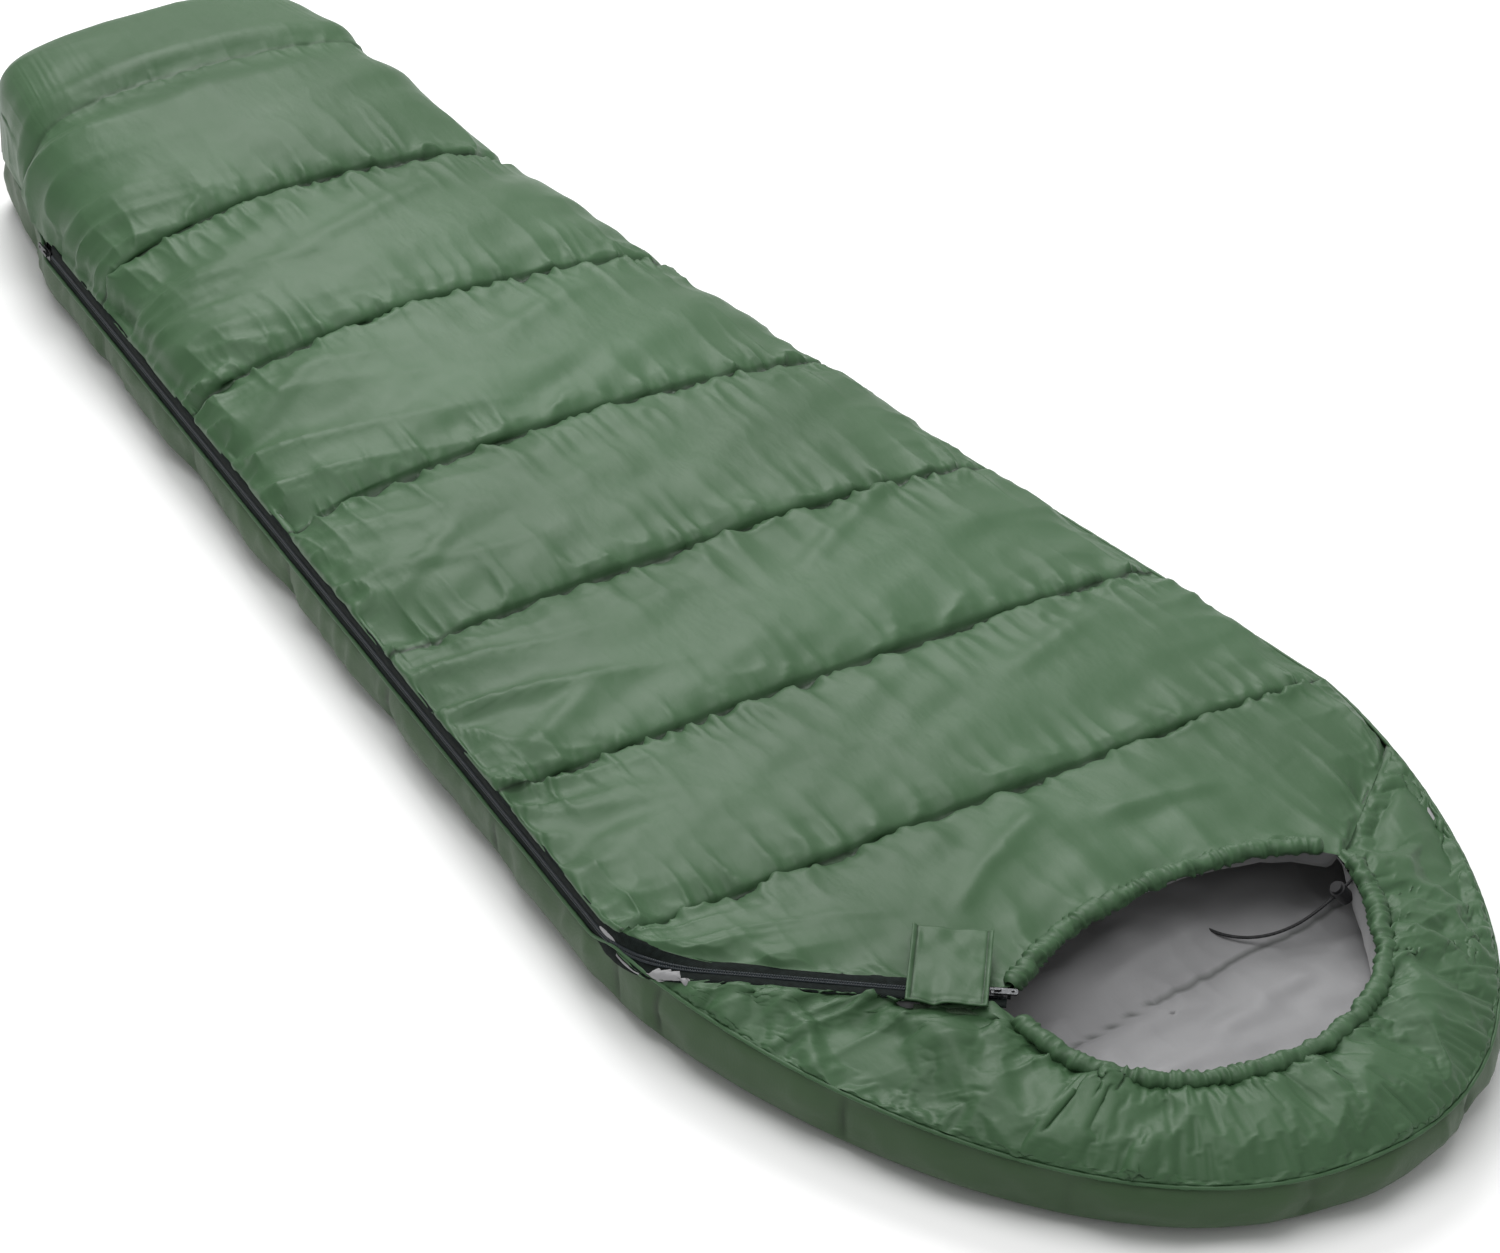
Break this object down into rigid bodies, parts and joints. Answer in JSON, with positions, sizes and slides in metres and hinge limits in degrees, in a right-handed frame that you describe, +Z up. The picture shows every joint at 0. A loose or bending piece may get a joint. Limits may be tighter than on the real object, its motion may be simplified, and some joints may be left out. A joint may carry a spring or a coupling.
{
  "type": "mummy sleeping bag",
  "caption": "Quilted mummy sleeping bag lying flat: tapered body, boxed foot, hood with a gathered face opening, side zip and closure tab.",
  "frame": {"origin": "middle of the bag's plan, on the surface that it lies on", "axes": "+Y from the head end to the foot end, +Z up, +X to the side without the zip"},
  "size_m": [0.8266, 2.1044, 0.19],
  "materials": {
    "green_shell_fabric": "smooth, slightly glossy polyester taffeta",
    "base_shell_fabric": "smooth, slightly glossy polyester taffeta, a little darker",
    "fibre_fill": "white polyester fibre wadding",
    "grey_lining": "soft matt polyester lining",
    "welt_fabric": "folded edge of the shell fabric",
    "zip_tape": "black herringbone tape",
    "zip_coil": "black nylon coil",
    "zip_metal": "black enamelled zinc",
    "hook_and_loop": "dark hook-and-loop fastener",
    "cord": "black braided cord",
    "lock_plastic": "black moulded plastic",
    "spring_steel": "bright spring wire"
  },
  "bodies": {
    "root": {"bottom_shell": "base_shell_fabric", "side_shell": "base_shell_fabric", "bottom_fill": "fibre_fill", "bottom_liner": "grey_lining", "top_quilt_shell": "green_shell_fabric", "top_quilt_fill": "fibre_fill", "top_quilt_liner": "grey_lining", "hood_shell": "green_shell_fabric", "hood_fill": "fibre_fill", "hood_liner": "grey_lining", "footbox_shell": "green_shell_fabric", "footbox_fill": "fibre_fill", "footbox_liner": "grey_lining", "side_welt": "welt_fabric", "zip_tape_lower": "zip_tape", "zip_teeth_lower": "zip_coil", "zip_stops": "zip_metal", "hook_patch": "hook_and_loop", "hood_hem": "green_shell_fabric", "hood_drawcord": "cord", "drawcord_tail": "cord", "cord_end_cap": "lock_plastic"},
    "top_flap": {"top_flap_shell": "green_shell_fabric", "top_flap_fill": "fibre_fill", "top_flap_liner": "grey_lining", "zip_tape_upper": "zip_tape", "zip_teeth_upper": "zip_coil", "chin_hem": "green_shell_fabric", "chin_elastic": "cord"},
    "closure_tab": {"closure_tab": "green_shell_fabric", "loop_patch": "hook_and_loop"},
    "main_slider": {"main_slider_body": "zip_metal"},
    "main_pull": {"main_slider_pull": "zip_metal"},
    "foot_slider": {"foot_slider_body": "zip_metal"},
    "foot_pull": {"foot_slider_pull": "zip_metal"},
    "cord_lock": {"cord_lock_body": "lock_plastic", "cord_lock_spring": "spring_steel"},
    "lock_button": {"cord_lock_plunger": "lock_plastic"}
  },
  "joints": [
    {"name": "flap_fold", "type": "hinge", "parent": "root", "child": "top_flap", "pos_m": [-0.233, 0.823, 0.176], "axis": [-0.2819, 0.9589, 0.0332], "range_deg": [0, 120]},
    {"name": "tab_hinge", "type": "hinge", "parent": "top_flap", "child": "closure_tab", "pos_m": [-0.31993, -0.52874, 0.09308], "axis": [-0.7595, 0.6495, -0.0353], "range_deg": [0, 140]},
    {"name": "main_zip", "type": "slide", "parent": "root", "child": "main_slider", "axis": [-0.7595, 0.6495, -0.0353], "range_m": [0, 0.225]},
    {"name": "main_pull_hinge", "type": "hinge", "parent": "main_slider", "child": "main_pull", "pos_m": [-0.18046, -0.74537, 0.10501], "axis": [-0.6499, -0.76, 0], "range_deg": [0, 95]},
    {"name": "foot_zip", "type": "slide", "parent": "root", "child": "foot_slider", "axis": [-0.1304, -0.9914, 0.0077], "range_m": [0, 1.26]},
    {"name": "foot_pull_hinge", "type": "hinge", "parent": "foot_slider", "child": "foot_pull", "pos_m": [-0.24269, 0.80963, 0.0689], "axis": [0.001, 0.0076, 1], "range_deg": [0, 150]},
    {"name": "cord_lock_slide", "type": "slide", "parent": "root", "child": "cord_lock", "axis": [-0.7603, 0.08, -0.6447], "range_m": [0, 0.01]},
    {"name": "lock_button_press", "type": "slide", "parent": "cord_lock", "child": "lock_button", "axis": [0.6411, -0.0675, -0.7645], "range_m": [0, 0.003], "stiffness_N_per_m": 400, "springref_m": -0.003, "deforming": ["cord_lock_spring"]}
  ]
}
